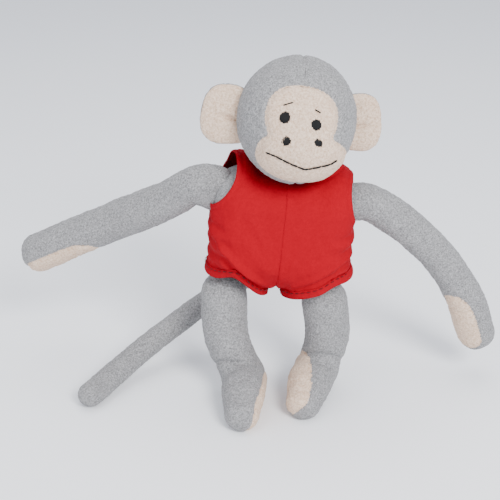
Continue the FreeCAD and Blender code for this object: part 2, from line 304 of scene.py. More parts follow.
@dataclass(frozen=True)
class Form:
    """Several solids run together into one soft one."""

    solids: Sequence[Field]
    soft: float = 0.0
    outset: float = 0.0

    def __call__(self, spots: Array) -> Array:
        """Signed distance of each spot.

        Args:
            spots: rows of x, y, z in mm.

        Returns:
            One distance per spot, below 0 inside.
        """
        total = self.solids[0](spots)
        for solid in self.solids[1:]:
            total = run_together(total, solid(spots), self.soft)
        return total - self.outset


def slope_of(shape: Field, points: Array, reach: float = 0.05) -> Array:
    """The direction in which a field grows fastest, at each point.

    Args:
        shape: the field.
        points: rows of x, y, z in mm.
        reach: how far to step each way, in mm.

    Returns:
        One vector per point, as growth per mm.
    """
    total = np.zeros_like(points)
    for i in range(3):
        step = np.zeros(3)
        step[i] = reach
        total[:, i] = shape(points + step) - shape(points - step)
    return total / (2 * reach)


def unit_rows(rows: Array) -> Array:
    """Each row's direction."""
    return rows / np.maximum(np.linalg.norm(rows, axis=1), 1e-9)[:, None]


def settle(shape: Field, points: Array, rounds: int = 2) -> Array:
    """Points moved onto the surface where a field is zero.

    Args:
        shape: the field.
        points: rows of x, y, z in mm.
        rounds: how many steps to take.

    Returns:
        The moved points.
    """
    for _ in range(rounds):
        slope = slope_of(shape, points)
        points = points - shape(points)[:, None] * slope / np.maximum((slope ** 2).sum(1), 1e-6)[:, None]
    return points


@dataclass
class Skin:
    """A mesh of quads in mm, with the smooth direction out of it at each point."""

    points: Array
    quads: Array
    out: Array = field(default_factory=lambda: np.zeros((0, 3)))
    edge_quads: int = 0

    def middles(self) -> Array:
        """The middle of each quad."""
        return self.points[self.quads].mean(axis=1)

    def part(self, keep: Array) -> "Skin":
        """The quads that a mask keeps, with only their own points.

        Args:
            keep: a mask of the quads.

        Returns:
            A smaller skin.
        """
        quads = self.quads[keep]
        used, renumbered = np.unique(quads, return_inverse=True)
        return Skin(self.points[used], renumbered.reshape(quads.shape), self.out[used])

    def raised(self, relief: Array) -> "Skin":
        """The skin pushed out by so many mm at each point."""
        return Skin(self.points + self.out * relief[:, None], self.quads, self.out)


def mesh_form(shape: Field, low: Array, high: Array, step: float, even: int = 2) -> Skin:
    """A form's surface as even quads: one point per grid cell that the surface crosses.

    Args:
        shape: the form's signed distance.
        low: lowest corner of the space searched, in mm.
        high: its highest corner.
        step: size of a quad in mm.
        even: how many rounds of evening out.

    Returns:
        The closed skin, settled on the form, with its outward directions.
    """
    coarse = 4
    blocks = np.ceil((high - low) / (step * coarse)).astype(int) + 1
    lines = [low[i] + np.arange(blocks[i] + 1) * step * coarse for i in range(3)]
    spots = np.stack(np.meshgrid(*lines, indexing="ij"), -1).reshape(-1, 3)
    rough = shape(spots).reshape(blocks + 1)
    corner_values = np.stack([rough[x:x + blocks[0], y:y + blocks[1], z:z + blocks[2]]
                              for x in (0, 1) for y in (0, 1) for z in (0, 1)])
    busy = np.abs(corner_values).min(axis=0) < step * coarse * 1.5
    fine = np.where(corner_values[0] < 0, -1.0, 1.0)
    mask = busy
    for way in range(3):
        fine, mask = np.repeat(fine, coarse, way), np.repeat(mask, coarse, way)
    fine[mask] = shape(low + np.argwhere(mask) * step)
    inside = fine < 0
    size = np.array(inside.shape) - 1
    count = sum(inside[x:x + size[0], y:y + size[1], z:z + size[2]].astype(np.int8)
                for x in (0, 1) for y in (0, 1) for z in (0, 1))
    crossed = (count > 0) & (count < 8)
    number = np.full(crossed.shape, -1)
    number[crossed] = np.arange(crossed.sum())
    points = low + (np.argwhere(crossed) + 0.5) * step
    quads = []
    for way in range(3):
        beside = [i for i in range(3) if i != way]
        ahead = np.take(inside, range(1, inside.shape[way]), way)
        here = np.take(inside, range(0, inside.shape[way] - 1), way)
        edges = np.argwhere(here != ahead)
        edges = edges[(edges[:, beside[0]] > 0) & (edges[:, beside[1]] > 0)]
        edges = edges[(edges < size).all(axis=1)]
        rising = ahead[tuple(edges.T)]
        ring = []
        for a, b in ((0, 0), (1, 0), (1, 1), (0, 1)):
            cell = edges.copy()
            cell[:, beside[0]] -= a
            cell[:, beside[1]] -= b
            ring.append(number[tuple(cell.T)])
        ring = np.stack(ring, 1)
        turned = rising if way != 1 else ~rising
        ring[turned] = ring[turned][:, ::-1]
        quads.append(ring[(ring >= 0).all(axis=1)])
    skin = Skin(settle(shape, points), np.concatenate(quads))
    for _ in range(even):
        skin.points = settle(shape, relaxed(skin), 1)
    skin.out = unit_rows(slope_of(shape, skin.points, step))
    return skin


def relaxed(skin: Skin) -> Array:
    """Each point moved half way to the middle of its neighbours.

    Args:
        skin: the skin to even out.

    Returns:
        Its points, moved.
    """
    total, count = np.zeros_like(skin.points), np.zeros(len(skin.points))
    for i in range(4):
        for j in (i - 1, (i + 1) % 4):
            np.add.at(total, skin.quads[:, i], skin.points[skin.quads[:, j]])
            np.add.at(count, skin.quads[:, i], 1)
    return 0.5 * skin.points + 0.5 * total / np.maximum(count, 1)[:, None]


def snapped(skin: Skin, line: Field, shape: Field, reach: float) -> Skin:
    """The skin with the points close to a seam line moved onto it.

    Args:
        skin: the skin to part.
        line: a field that is zero along the seam.
        shape: the form, to keep the points on its surface.
        reach: how close a point has to be, in mm.

    Returns:
        The same skin with its points moved.
    """
    slope = slope_of(line, skin.points)
    slope -= (slope * skin.out).sum(1)[:, None] * skin.out
    size = np.maximum(np.linalg.norm(slope, axis=1), 1e-6)
    away = line(skin.points) / size
    close = (np.abs(away) < reach) & (size > 0.05)
    points = skin.points.copy()
    points[close] -= (away / size)[close, None] * slope[close]
    points[close] = settle(shape, points[close], 1)
    left = line(points[close])
    points[close] -= (left / size[close] ** 2)[:, None] * slope[close]
    return Skin(points, skin.quads, skin.out)


def thickened(skin: Skin, depth: float) -> Skin:
    """An open skin given a back and an edge, as cloth has.

    Args:
        skin: the outer face, in mm.
        depth: the cloth's thickness in mm.

    Returns:
        A closed skin.
    """
    count = len(skin.points)
    inner = skin.points - skin.out * depth
    edges = np.concatenate([skin.quads[:, [i, (i + 1) % 4]] for i in range(4)])
    keys = np.sort(edges, axis=1)
    _, first, times = np.unique(keys, axis=0, return_index=True, return_counts=True)
    rim = edges[first[times == 1]]
    walls = np.stack([rim[:, 1], rim[:, 0], rim[:, 0] + count, rim[:, 1] + count], 1)
    quads = np.concatenate([skin.quads, skin.quads[:, ::-1] + count, walls])
    points, out = np.concatenate([skin.points, inner]), np.concatenate([skin.out, -skin.out])
    return Skin(points, quads, out, len(walls))


# ---------------------------------------------------------------- Blender objects

def piece_of(name: str, skin: Skin, material: bpy.types.Material) -> bpy.types.Object:
    """A Blender object from a skin.

    Args:
        name: the piece's name.
        skin: its mesh, in mm.
        material: its finish.

    Returns:
        The object, smooth-shaded.
    """
    mesh = bpy.data.meshes.new(name)
    mesh.from_pydata((skin.points * MM).tolist(), [], skin.quads.tolist())
    smooth = len(skin.quads) - skin.edge_quads
    mesh.polygons.foreach_set("use_smooth", [True] * smooth + [False] * skin.edge_quads)
    mesh.materials.append(material)
    mesh.update()
    thing = bpy.data.objects.new(name, mesh)
    bpy.context.scene.collection.objects.link(thing)
    LOG.info("%s: %d points, %d faces", name, len(skin.points), len(skin.quads))
    return thing


def thread_skin(paths: Sequence[Array], radius: float, sides: int = 8, taper: float = 0.35) -> Skin:
    """Lengths of thread, each a round tube that narrows at its ends.

    Args:
        paths: one array of points per length of thread, in mm.
        radius: the thread's radius in mm.
        sides: how many faces go round it.
        taper: share of the radius left at the very ends.

    Returns:
        One skin of all the lengths.
    """
    points, quads, outs, base = [], [], [], 0
    turn = np.arange(sides) / sides * 2 * math.pi
    for path in paths:
        ways = unit_rows(np.gradient(path, axis=0))
        helper = vec(0, 0, 1) if abs(ways[:, 2]).mean() < 0.8 else vec(1, 0, 0)
        side = unit_rows(np.cross(ways, helper))
        other = np.cross(ways, side)
        share = np.linspace(-1, 1, len(path))
        width = radius * (taper + (1 - taper) * np.sqrt(np.maximum(1 - share ** 6, 0)))
        ring = side[:, None] * np.cos(turn)[None, :, None] + other[:, None] * np.sin(turn)[None, :, None]
        points.append((path[:, None] + ring * width[:, None, None]).reshape(-1, 3))
        outs.append(ring.reshape(-1, 3))
        for i in range(len(path) - 1):
            for j in range(sides):
                k = (j + 1) % sides
                quads.append([base + i * sides + j, base + i * sides + k,
                              base + (i + 1) * sides + k, base + (i + 1) * sides + j])
        for start, order in ((base, 1), (base + (len(path) - 1) * sides, -1)):
            cap = [start + j for j in range(sides)][::order]
            quads += [[cap[0], cap[j], cap[j + 1], cap[j + 2]] for j in range(1, sides - 2, 2)]
        base += len(path) * sides
    return Skin(np.concatenate(points), np.array(quads), np.concatenate(outs))


# ---------------------------------------------------------------- finishes

class Wire:
    """A socket of a material, with sums that add their own nodes."""

    def __init__(self, book: "Book", socket: bpy.types.NodeSocket) -> None:
        """Wraps an output socket."""
        self.book, self.socket = book, socket

    def _sum(self, operation: str, first: "Wire | float", second: "Wire | float") -> "Wire":
        """One Math node on two values."""
        return self.book.node("ShaderNodeMath", {"operation": operation}, {0: first, 1: second})

    def __add__(self, other: "Wire | float") -> "Wire":
        """self + other."""
        return self._sum("ADD", self, other)

    __radd__ = __add__

    def __sub__(self, other: "Wire | float") -> "Wire":
        """self - other."""
        return self._sum("SUBTRACT", self, other)

    def __rsub__(self, other: float) -> "Wire":
        """other - self."""
        return self._sum("SUBTRACT", other, self)

    def __mul__(self, other: "Wire | float") -> "Wire":
        """self * other."""
        return self._sum("MULTIPLY", self, other)

    __rmul__ = __mul__


class Book:
    """The nodes of one material."""

    def __init__(self, name: str) -> None:
        """Starts a material with only its surface and output.

        Args:
            name: the material's name.
        """
        self.material = bpy.data.materials.new(name)
        self.material.use_nodes = True
        self.tree = self.material.node_tree
        self.surface = next(n for n in self.tree.nodes if n.type == "BSDF_PRINCIPLED")

    def node(self, kind: str, settings: dict, inputs: dict, output: int | str = 0) -> Wire:
        """Adds a node.

        Args:
            kind: the node's Blender type.
            settings: attributes set first, with ramp stops under "stops".
            inputs: values or wires by socket name or number.
            output: which output to give back.

        Returns:
            The wire from that output.
        """
        made = self.tree.nodes.new(kind)
        for key, value in settings.items():
            if key == "stops":
                while len(made.color_ramp.elements) < len(value):
                    made.color_ramp.elements.new(0.5)
                for stop, (place, colour) in zip(made.color_ramp.elements, value):
                    stop.position = place
                    stop.color = (*colour, 1) if len(colour) == 3 else colour
            else:
                setattr(made, key, value)
        for key, value in inputs.items():
            if isinstance(value, Wire):
                self.tree.links.new(value.socket, made.inputs[key])
            else:
                made.inputs[key].default_value = value
        return Wire(self, made.outputs[output])

    def noise(self, place: Wire, size_mm: float, detail: float = 2.0, rough: float = 0.5) -> Wire:
        """Noise of a grain given in mm."""
        return self.node("ShaderNodeTexNoise", {}, {"Vector": place, "Scale": 1 / (size_mm * MM),
                                                   "Detail": detail, "Roughness": rough}, "Fac")

    def mixed(self, share: "Wire | float", first: "Wire | Sequence[float]",
              second: "Wire | Sequence[float]") -> Wire:
        """Two colours mixed.

        Args:
            share: how much of the second colour.
            first: one colour.
            second: the other.

        Returns:
            The mixed colour's wire.
        """
        made = self.tree.nodes.new("ShaderNodeMix")
        made.data_type = "RGBA"
        for key, value in ((0, share), (6, first), (7, second)):
            if isinstance(value, Wire):
                self.tree.links.new(value.socket, made.inputs[key])
            else:
                made.inputs[key].default_value = (*value, 1) if key else value
        return Wire(self, made.outputs[2])

    def bump(self, height: Wire, depth_mm: float, strength: float, below: "Wire | None" = None) -> Wire:
        """Relief of a depth given in mm.

        Args:
            height: the relief's wire.
            depth_mm: its depth in mm.
            strength: how strongly it shows, 0 to 1.
            below: a normal to add it to.

        Returns:
            The new normal's wire.
        """
        inputs = {"Height": height, "Distance": depth_mm * MM, "Strength": strength}
        if below is not None:
            inputs["Normal"] = below
        return self.node("ShaderNodeBump", {}, inputs, "Normal")

    def feed(self, **inputs: "Wire | float | Sequence[float]") -> None:
        """Sets or links the surface's sockets, with underscores for spaces."""
        for key, value in inputs.items():
            socket = self.surface.inputs[key.replace("_", " ")]
            if isinstance(value, Wire):
                self.tree.links.new(value.socket, socket)
            else:
                socket.default_value = value


@dataclass(frozen=True)
class Plush:
    """Short-pile plush: flecked, matt and soft at its edges."""

    name: str
    dark: tuple[float, float, float]
    light: tuple[float, float, float]
    fleck: float = 0.8
    sheen: float = 0.25

    def material(self) -> bpy.types.Material:
        """The finish as a Blender material.

        Returns:
            The material.
        """
        book = Book(self.name)
        place = book.node("ShaderNodeTexCoord", {}, {}, "Object")
        fleck = book.noise(place, self.fleck, 3, 0.65)
        strand = book.noise(place, self.fleck * 0.35, 2, 0.6)
        mottle = book.noise(place, 9.0, 2, 0.5)
        tone = book.node("ShaderNodeValToRGB", {"stops": [(0.38, self.dark), (0.62, self.light)]},
                         {"Fac": fleck * 0.6 + strand * 0.4}, "Color")
        worn = book.mixed(mottle * 0.3, tone, tuple(0.72 * c for c in self.dark))
        book.feed(Base_Color=worn, Roughness=0.95, Sheen_Weight=self.sheen, Sheen_Roughness=0.45,
                  Normal=book.bump(strand, 0.4, 0.7, book.bump(fleck, 0.7, 0.7)))
        book.surface.inputs["Specular IOR Level"].default_value = 0.15
        return book.material


@dataclass(frozen=True)
class Cotton:
    """Plain-weave dyed cotton."""

    name: str
    deep: tuple[float, float, float]
    bright: tuple[float, float, float]
    pitch: float = 0.42

    def material(self) -> bpy.types.Material:
        """The finish as a Blender material.

        Returns:
            The material.
        """
        book = Book(self.name)
        place = book.node("ShaderNodeUVMap", {"uv_map": "cloth"}, {}, "UV")
        solid = book.node("ShaderNodeTexCoord", {}, {}, "Object")
        bands = []
        for way in ("X", "Y"):
            bands.append(book.node("ShaderNodeTexWave", {"bands_direction": way},
                                   {"Vector": place, "Scale": 0.314 / (self.pitch * MM),
                                    "Distortion": 0.6, "Detail": 1.0}, "Fac"))
        weave = bands[0] * bands[1]
        slub = book.noise(solid, 2.2, 3, 0.6)
        fade = book.noise(solid, 26.0, 2, 0.5)
        tone = book.mixed(weave * 0.55 + slub * 0.4, self.deep, self.bright)
        faded = book.mixed(fade * 0.3, tone, self.deep)
        book.feed(Base_Color=faded, Roughness=0.9,
                  Normal=book.bump(weave, 0.12, 0.5, book.bump(slub, 0.2, 0.35)))
        book.surface.inputs["Specular IOR Level"].default_value = 0.08
        return book.material


@dataclass(frozen=True)
class Floss:
    """Stranded thread with a slight lustre."""

    name: str
    colour: tuple[float, float, float]
    strand: float = 0.25

    def material(self) -> bpy.types.Material:
        """The finish as a Blender material.

        Returns:
            The material.
        """
        book = Book(self.name)
        place = book.node("ShaderNodeTexCoord", {}, {}, "Object")
        strand = book.noise(place, self.strand, 2, 0.6)
        tone = book.mixed(strand, self.colour, tuple(min(1, c * 1.9 + 0.01) for c in self.colour))
        book.feed(Base_Color=tone, Roughness=0.6, Normal=book.bump(strand, 0.12, 0.5))
        book.surface.inputs["Specular IOR Level"].default_value = 0.15
        return book.material


@dataclass(frozen=True)
class Ground:
    """The pale floor that the toy stands on."""

    colour: tuple[float, float, float] = (0.92, 0.93, 0.95)

    def material(self) -> bpy.types.Material:
        """The finish as a Blender material.

        Returns:
            The material.
        """
        book = Book("pale_floor")
        place = book.node("ShaderNodeTexCoord", {}, {}, "Object")
        cloud = book.noise(place, 300.0, 2, 0.5)
        tone = book.mixed(cloud * 0.2, self.colour, tuple(0.97 * c for c in self.colour))
        book.feed(Base_Color=tone, Roughness=0.7)
        return book.material


GREY = Plush("grey_plush", (0.13, 0.128, 0.13), (0.43, 0.425, 0.425), fleck=1.0, sheen=0.12)
CREAM = Plush("cream_plush", (0.52, 0.345, 0.235), (0.86, 0.69, 0.55), fleck=1.2, sheen=0.1)
RED = Cotton("red_cotton", (0.24, 0.0, 0.006), (0.46, 0.0, 0.012))
BLACK = Floss("black_floss", (0.0015, 0.0015, 0.002))
HEM_THREAD = Floss("hem_thread", (0.05, 0.001, 0.002))


class Wardrobe:
    """The materials of the toy, each made once."""

    def __init__(self) -> None:
        """Makes every finish."""
        self.grey, self.cream = GREY.material(), CREAM.material()
        self.red, self.black = RED.material(), BLACK.material()
        self.hem_thread = HEM_THREAD.material()


# ---------------------------------------------------------------- relief

def pile(skin: Skin, height: float = 0.22, seed: int = 1) -> Array:
    """The relief of short pile: tufts, and the filling's slow lumps under it.

    Args:
        skin: the plush's skin.
        height: the tufts' height in mm.
        seed: picks another pattern.

    Returns:
        How far each point stands out, in mm.
    """
    tufts = grain(skin.points, 1.7, seed) * 0.6 + grain(skin.points, 1.0, seed + 1) * 0.5
    lumps = grain(skin.points, 13.0, seed + 2) * 0.45 + grain(skin.points, 6.0, seed + 3) * 0.18
    return 1.5 * height * tufts + lumps


# ---------------------------------------------------------------- the head

@dataclass
class Head:
    """The stuffed head: two grey crown panels, a cream face panel, embroidery and two ears."""

    wardrobe: Wardrobe
    half: Array = field(default_factory=lambda: vec(33.3, 32.8, 35.3))
    snout_middle: Array = field(default_factory=lambda: vec(2.0, -15.5, -13.0))
    snout_half: Array = field(default_factory=lambda: vec(23.5, 21.5, 18.5))
    brow_patch: tuple[float, float, float, float] = (-0.2, 4.3, 19.4, 16.4)
    muzzle_patch: tuple[float, float, float, float] = (5.0, -17.4, 25.6, 14.8)
    patch_tilt: float = 7.0
    step: float = 0.6
    seam_depth: float = 0.9
    on_seam: float = 0.01
    ear_back: float = 6.0
    ear_drop: float = 1.0

    def __post_init__(self) -> None:
        """Finds the head's frame from the two ears' roots."""
        right, left = pivot("right_ear_fold"), pivot("left_ear_fold")
        across, up = unit(left - right), axis("left_ear_fold")
        back = np.cross(up, across)
        centre = (right + left) / 2 - back * self.ear_back + up * self.ear_drop
        self.pose = Pose(centre, across, back, up)
        self.form = Form([Ball(self.pose, vec(0, 0, 0), self.half),
                          Ball(self.pose, self.snout_middle, self.snout_half)], soft=9.0)

    def face_line(self, points: Array) -> Array:
        """Signed distance from the face panel's edge, seen from the front: a brow and a muzzle lobe.

        Args:
            points: rows of x, y, z in mm.

        Returns:
            One distance per point, below 0 on the face panel.
        """
        place = self.pose.local(points)
        turn = math.radians(self.patch_tilt)
        across = place[:, 0] * math.cos(turn) - place[:, 2] * math.sin(turn)
        height = place[:, 0] * math.sin(turn) + place[:, 2] * math.cos(turn)
        lobes = []
        for x, z, wide, tall in (self.brow_patch, self.muzzle_patch):
            scale = (np.abs((across - x) / wide) ** 2.3 + np.abs((height - z) / tall) ** 2.3) ** (1 / 2.3)
            lobes.append((scale - 1) * min(wide, tall))
        line = run_together(lobes[0], lobes[1], 2.5)
        return np.where(place[:, 1] > -2, np.maximum(line, 2 + place[:, 1]), line)

    def middle_line(self, points: Array) -> Array:
        """Distance from the crown's centre seam, which runs from brow to nape."""
        return self.pose.local(points)[:, 0] - 1.2

    def crown_line(self, points: Array) -> Array:
        """Distance from the crown's centre seam, far away on the face panel."""
        return np.where(self.face_line(points) > -self.on_seam, self.middle_line(points), FAR)

    def front_point(self, x: float, z: float) -> Array:
        """The point of the face at a place across and up, in the toy's frame.

        Args:
            x: place across the face, in mm.
            z: place up it.

        Returns:
            The point, in mm.
        """
        spots = self.pose.world(np.stack([np.full(400, x), np.linspace(-60, 0, 400), np.full(400, z)], 1))
        inside = np.argmax(self.form(spots) < 0)
        return spots[inside]

    def front_path(self, marks: Sequence[tuple[float, float]], count: int, lift: float) -> Array:
        """A line on the face through marks, lifted off it.

        Args:
            marks: places across and up, in mm.
            count: how many points to make.
            lift: height above the face in mm.

        Returns:
            Points in the toy's frame.
        """
        marks = np.array(marks, float)
        share = np.linspace(0, len(marks) - 1, count)
        x, z = (np.interp(share, np.arange(len(marks)), marks[:, i]) for i in (0, 1))
        points = np.array([self.front_point(a, b) for a, b in zip(x, z)])
        return points + unit_rows(slope_of(self.form, points)) * lift

    def build(self) -> None:
        """Makes and dresses the head."""
        reach = vec(60, 60, 60)
        skin = mesh_form(self.form, self.pose.centre - reach, self.pose.centre + reach, self.step)
        skin = snapped(skin, self.face_line, self.form, self.step * 0.6)
        grey_points = self.face_line(skin.points) > -self.on_seam
        skin = snapped(skin, self.crown_line, self.form, self.step * 0.6)
        face_side = self.face_line(skin.points)
        middle = self.middle_line(skin.points)
        relief = pile(skin, 0.24, 11)
        relief -= self.seam_depth * near(face_side, 1.1)
        relief += 0.5 * near(face_side + 3.2, 2.4)
        relief -= np.where(grey_points, 0.8 * near(middle, 1.1), 0)
        skin = skin.raised(relief)
        middles = skin.middles()
        is_face = self.face_line(middles) < 0
        on_left = self.middle_line(middles) > 0
        for name, keep, material, slot in (
                ("face_panel", is_face, self.wardrobe.cream, "cream_plush"),
                ("right_crown_panel", ~is_face & ~on_left, self.wardrobe.grey, "grey_plush"),
                ("left_crown_panel", ~is_face & on_left, self.wardrobe.grey, "grey_plush")):
            piece = piece_of(name + "_plush", skin.part(keep), material)
            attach(piece, "head")
            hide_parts(name, *(["head_stuffing"] if name == "face_panel" else []))
        self.embroider()
        for side in Side:
            self.ear(side)

    def embroider(self) -> None:
        """Sews the eyes, nostrils, brows and mouth in floss."""
        dots = {"right_eye": (-8.9, 4.3, 2.6, 3.3, 0.1), "left_eye": (7.6, 1.6, 2.6, 3.1, -0.05),
                "right_nostril": (-7.8, -7.5, 2.7, 2.7, 0.15), "left_nostril": (9.0, -7.2, 2.2, 2.4, -0.35)}
        sewn: dict[str, list[Array]] = {"right_eye": [], "left_eye": [], "nostrils": []}
        for name, (x, z, wide, tall, lean) in dots.items():
            sewn["nostrils" if "nostril" in name else name] += self.satin(x, z, wide, tall, lean)
        sewn["eyebrow_stitches"] = [self.front_path([(-10.3, 10.4), (-4.9, 12.4)], 9, 0.25),
                                    self.front_path([(6.5, 9.4), (9.8, 7.7)], 9, 0.25)]
        sewn["mouth_stitches"] = self.backstitch([(-17.4, -14.8), (-12.3, -16.1), (-4.7, -19.1),
                                                  (3.5, -21.9), (7.2, -21.1), (17.2, -18.9), (20.5, -17.0)])
        for name, paths in sewn.items():
            radius = {"eyebrow_stitches": 0.4, "mouth_stitches": 0.5}.get(name, 0.45)
            piece = piece_of(name + "_floss", thread_skin(paths, radius), self.wardrobe.black)
            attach(piece, "head")
            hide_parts(name)

    def satin(self, x: float, z: float, wide: float, tall: float, lean: float) -> list[Array]:
        """Strands of satin stitch side by side, filling an oval.

        Args:
            x: middle of the oval across the face, in mm.
            z: its middle up the face.
            wide: its half width.
            tall: its half height.
            lean: how far the strands lean, as mm across per mm up.

        Returns:
            One path per strand.
        """
        strands = []
        for i, offset in enumerate(np.linspace(-wide + 0.35, wide - 0.35, 8)):
            half = tall * math.sqrt(max(1 - (offset / wide) ** 2, 0.05)) * (1 + 0.08 * math.sin(i * 2.4))
            ends = [(x + offset - lean * half, z - half), (x + offset + lean * half, z + half)]
            strand = self.front_path(ends, 9, 0)
            bow = 1 - np.linspace(-1, 1, len(strand)) ** 2
            up = unit_rows(slope_of(self.form, strand))
            strands.append(strand + up * (0.1 + 0.55 * bow * (1 - 0.5 * (offset / wide) ** 2))[:, None])
        return strands

    def backstitch(self, marks: Sequence[tuple[float, float]]) -> list[Array]:
        """A line of short stitches, each starting where the last one ends.

        Args:
            marks: places across and up, in mm.

        Returns:
            One path per stitch.
        """
        count, marks_each = 12, 10
        whole = self.front_path(marks, count * marks_each + 1, 0.2)
        stitches = []
        for i in range(count):
            part = whole[i * marks_each:(i + 1) * marks_each + 1]
            bow = 1 - np.linspace(-1, 1, len(part)) ** 2
            up = unit_rows(slope_of(self.form, part))
            stitches.append(part + up * (0.25 * bow)[:, None])
        return stitches

    def ear(self, side: Side) -> None:
        """Makes one ear: a padded, cream-fronted pad with a pucker where it is sewn in.

        Args:
            side: which ear.
        """
        low, high = corners(side.word + "_ear_front")
        back_low, back_high = corners(side.word + "_ear_back")
        root = pivot(side.word + "_ear_fold")
        middle = (np.minimum(low, back_low) + np.maximum(high, back_high)) / 2
        out = middle - root
        out = unit(out - (out @ self.pose.up) * self.pose.up)
        facing = unit(np.cross(out, self.pose.up)) * side.value
        if facing @ self.pose.back > 0:
            facing = -facing
        pose = Pose(root, out, -facing, self.pose.up)
        middle_out, half = 1.6, vec(14.0, 5.2, 16.6)
        if side is Side.RIGHT:
            middle_out, half = 4.4, vec(16.4, 5.4, 17.2)

        def shape(points: Array) -> Array:
            """Signed distance from the ear's pad.

            Args:
                points: rows of x, y, z in mm.

            Returns:
                One distance per point, below 0 inside.
            """
            place = pose.local(points) - vec(middle_out, 0, 0.3)
            outline = (np.abs(place[:, 0] / half[0]) ** 2.5 + np.abs(place[:, 2] / half[2]) ** 2.5) ** 0.4
            outline = outline + 0.035 * np.sin(3.0 * np.arctan2(place[:, 2], place[:, 0]) + 0.6)
            hollow = 0.20 * near(np.hypot(place[:, 0] + 4.5, place[:, 2]), 6.5)
            depth = place[:, 1] / half[1]
            return (np.hypot(outline, depth) - 1) * half[1] + np.where(depth < 0, hollow * half[1], 0)

        reach = vec(26, 26, 26)
        skin = mesh_form(shape, middle - reach, middle + reach, 0.55)

        def rim(points: Array) -> Array:
            """How far behind the ear's seam points are."""
            return pose.local(points)[:, 1] + 0.4

        skin = snapped(skin, rim, shape, 0.35)
        place = pose.local(skin.points)
        relief = pile(skin, 0.2, 31 + side.value) - 0.6 * near(rim(skin.points), 0.9)
        pucker = near(place[:, 2] + 1.5 - 0.2 * place[:, 0], 1.5)
        pucker = pucker * near(np.maximum(place[:, 0] - 3.0, 0), 5.0)
        relief += np.where(place[:, 1] < 0, 0.5 * near(rim(skin.points) + 2.6, 1.6) - 2.3 * pucker, 0)
        skin = skin.raised(relief)
        inside_head = self.form(skin.middles()) < -2.5
        is_front = rim(skin.middles()) < 0
        for word, keep, material, slot in (("front", is_front, self.wardrobe.cream, "cream_plush"),
                                           ("back", ~is_front, self.wardrobe.grey, "grey_plush")):
            piece = piece_of(f"{side.word}_ear_{word}_plush", skin.part(keep & ~inside_head), material)
            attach(piece, side.word + "_ear")
            nodes = [f"{side.word}_ear_{word}"] + ([side.word + "_ear_padding"] if word == "back" else [])
            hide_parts(*nodes)


# ---------------------------------------------------------------- limbs and tail

def smooth_way(stations: Array, radii: Sequence[float], count: int) -> Rope:
    """A rope whose line is rounded through its stations.

    Args:
        stations: the points it passes.
        radii: its radius at each.
        count: how many points to make.

    Returns:
        The rope.
    """
    padded = np.vstack([2 * stations[0] - stations[1], stations, 2 * stations[-1] - stations[-2]])
    points, sizes = [], []
    for share in np.linspace(0, len(stations) - 1, count):
        i = min(int(share), len(stations) - 2)
        t = share - i
        a, b, c, d = padded[i:i + 4]
        points.append(0.5 * (2 * b + (c - a) * t + (2 * a - 5 * b + 4 * c - d) * t * t +
                             (3 * b - a - 3 * c + d) * t ** 3))
        sizes.append(np.interp(share, range(len(radii)), radii))
    sizes = np.convolve(np.pad(sizes, 1, mode="edge"), [0.25, 0.5, 0.25], mode="valid")
    return Rope(np.array(points), sizes)


@dataclass(frozen=True)
class Course:
    """How a limb runs: its first heading and rise, and their turn per step, in degrees."""

    heading: float
    heading_turn: float
    rise: float
    rise_turn: float
    patch_facing: Array
    step: float = 24.8
    steps: int = 5

    def stations(self, start: Array) -> Array:
        """The points that the limb passes, from its root.

        Args:
            start: the limb's root, in mm.

        Returns:
            The root and one point per step.
        """
        points = [start]
        for i in range(self.steps):
            points.append(points[-1] + self.step * course_way(self.heading + self.heading_turn * i,
                                                              self.rise + self.rise_turn * i))
        return np.array(points)


def patch_line(rope: Rope, facing: Array, middle: float, half: float, wide: float,
               power: float = 2.6) -> Field:
    """A sewn-on patch's edge on a limb: an oval round a place along it, on the side that it faces.

    Args:
        rope: the limb's line.
        facing: the way the patch looks.
        middle: how far along the limb its middle is, in mm.
        half: half its length.
        wide: half its width round the limb.
        power: how square its corners are.

    Returns:
        A field that is negative inside the patch.
    """
    def line(points: Array) -> Array:
        """Signed distance from the patch's edge.

        Args:
            points: rows of x, y, z in mm.

        Returns:
            One distance per point, below 0 inside the patch.
        """
        length, offset = rope.along(points)
        ahead = offset @ unit(facing)
        size = np.linalg.norm(offset, axis=1)
        round_it = np.arccos(np.clip(ahead / np.maximum(size, 1e-6), -1, 1)) * size
        end = rope.points[-1] - rope.points[-2]
        past = np.maximum((points - rope.points[-1]) @ unit(end), 0)
        scale = (np.abs((length + past - middle) / half) ** power + (round_it / wide) ** power) ** (1 / power)
        return (scale - 1) * wide
    return line


